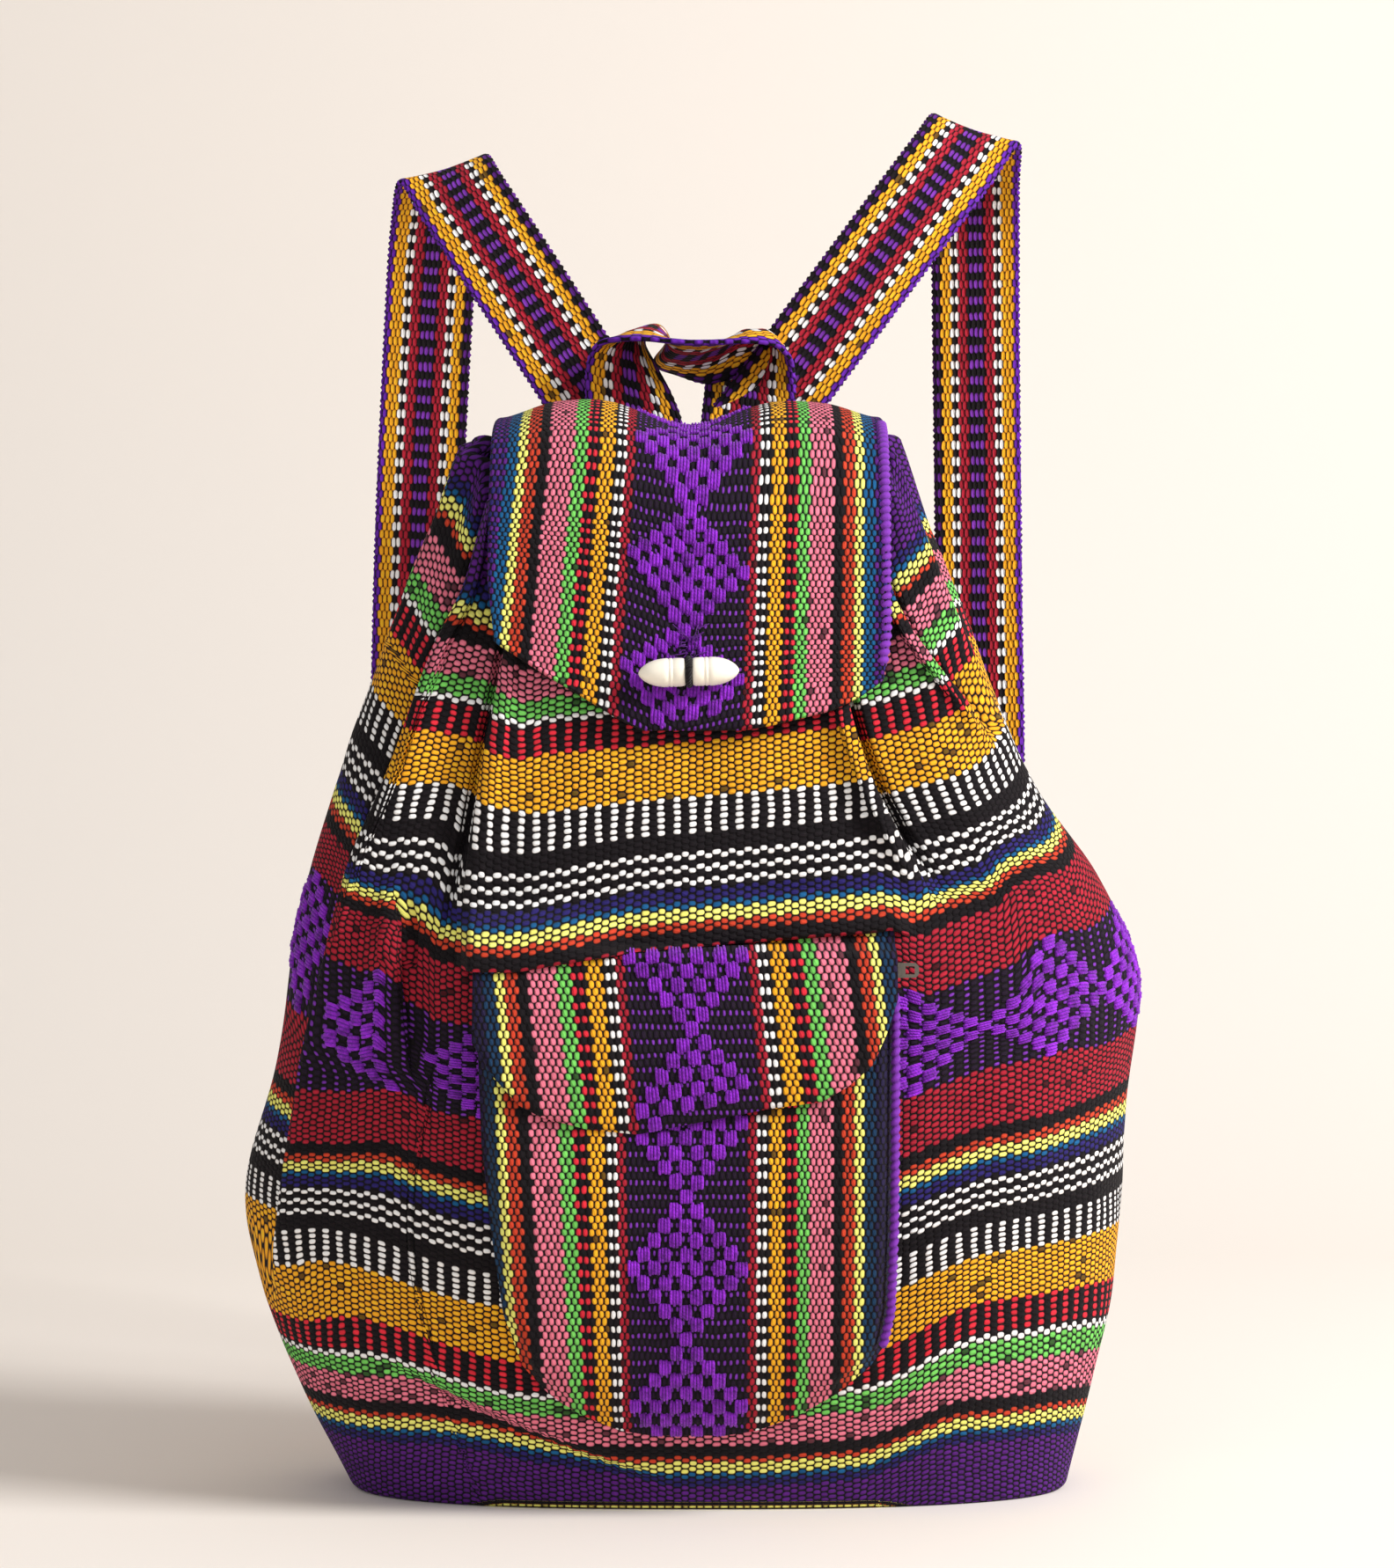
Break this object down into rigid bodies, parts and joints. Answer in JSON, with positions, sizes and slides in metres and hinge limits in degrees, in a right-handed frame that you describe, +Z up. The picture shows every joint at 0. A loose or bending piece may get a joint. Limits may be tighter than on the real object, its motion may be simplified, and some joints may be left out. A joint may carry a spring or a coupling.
{
  "type": "woven drawstring backpack",
  "caption": "Gathered sack of striped woven cloth with a toggled front flap, a zipped front pocket under its own flap, shoulder straps and a hanging loop.",
  "frame": {"origin": "middle of the flat underside of the base", "axes": "+Z up; the front with the pocket faces -Y; +X is on the right of the front"},
  "size_m": [0.3492, 0.2657, 0.5592],
  "materials": {
    "sack_weave": "warp-faced plain weave of striped cotton, matte",
    "flap_weave": "warp-faced plain weave of striped cotton, matte",
    "band_weave": "warp-faced plain weave of striped cotton, matte",
    "dark_cord": "twisted black cord",
    "zip_tape": "woven zip tape",
    "toggle_horn": "ivory-coloured, turned and polished",
    "zip_metal": "dark grey cast metal, worn"
  },
  "bodies": {
    "bag": {"sack": "sack_weave", "drawstring": "band_weave", "main_flap": "flap_weave", "pocket_panel": "flap_weave", "pocket_flap": "flap_weave", "zip_tape_upper": "zip_tape", "zip_tape_lower": "zip_tape", "zip_teeth_upper": "zip_metal", "zip_teeth_lower": "zip_metal", "zip_stop_upper": "zip_metal", "zip_stop_lower": "zip_metal", "zip_stop_end": "zip_metal", "strap_left": "band_weave", "strap_right": "band_weave", "hang_loop": "band_weave"},
    "toggle": {"toggle": "toggle_horn", "toggle_cord": "dark_cord"},
    "slider": {"zip_slider": "zip_metal"},
    "pull": {"zip_pull": "zip_metal"}
  },
  "joints": [
    {"name": "toggle_turn", "type": "hinge", "parent": "bag", "child": "toggle", "pos_m": [0, -0.06663, 0.3172], "axis": [0, -0.9642, 0.2651], "range_deg": [-90, 90]},
    {"name": "zip_slide", "type": "slide", "parent": "bag", "child": "slider", "axis": [1, 0, 0], "range_m": [-0.1175, 0], "deforming": ["zip_teeth_upper", "zip_teeth_lower"]},
    {"name": "pull_swing", "type": "hinge", "parent": "slider", "child": "pull", "pos_m": [0.0583, -0.08924, 0.206], "axis": [0, 0, -1], "range_deg": [0, 8]}
  ]
}
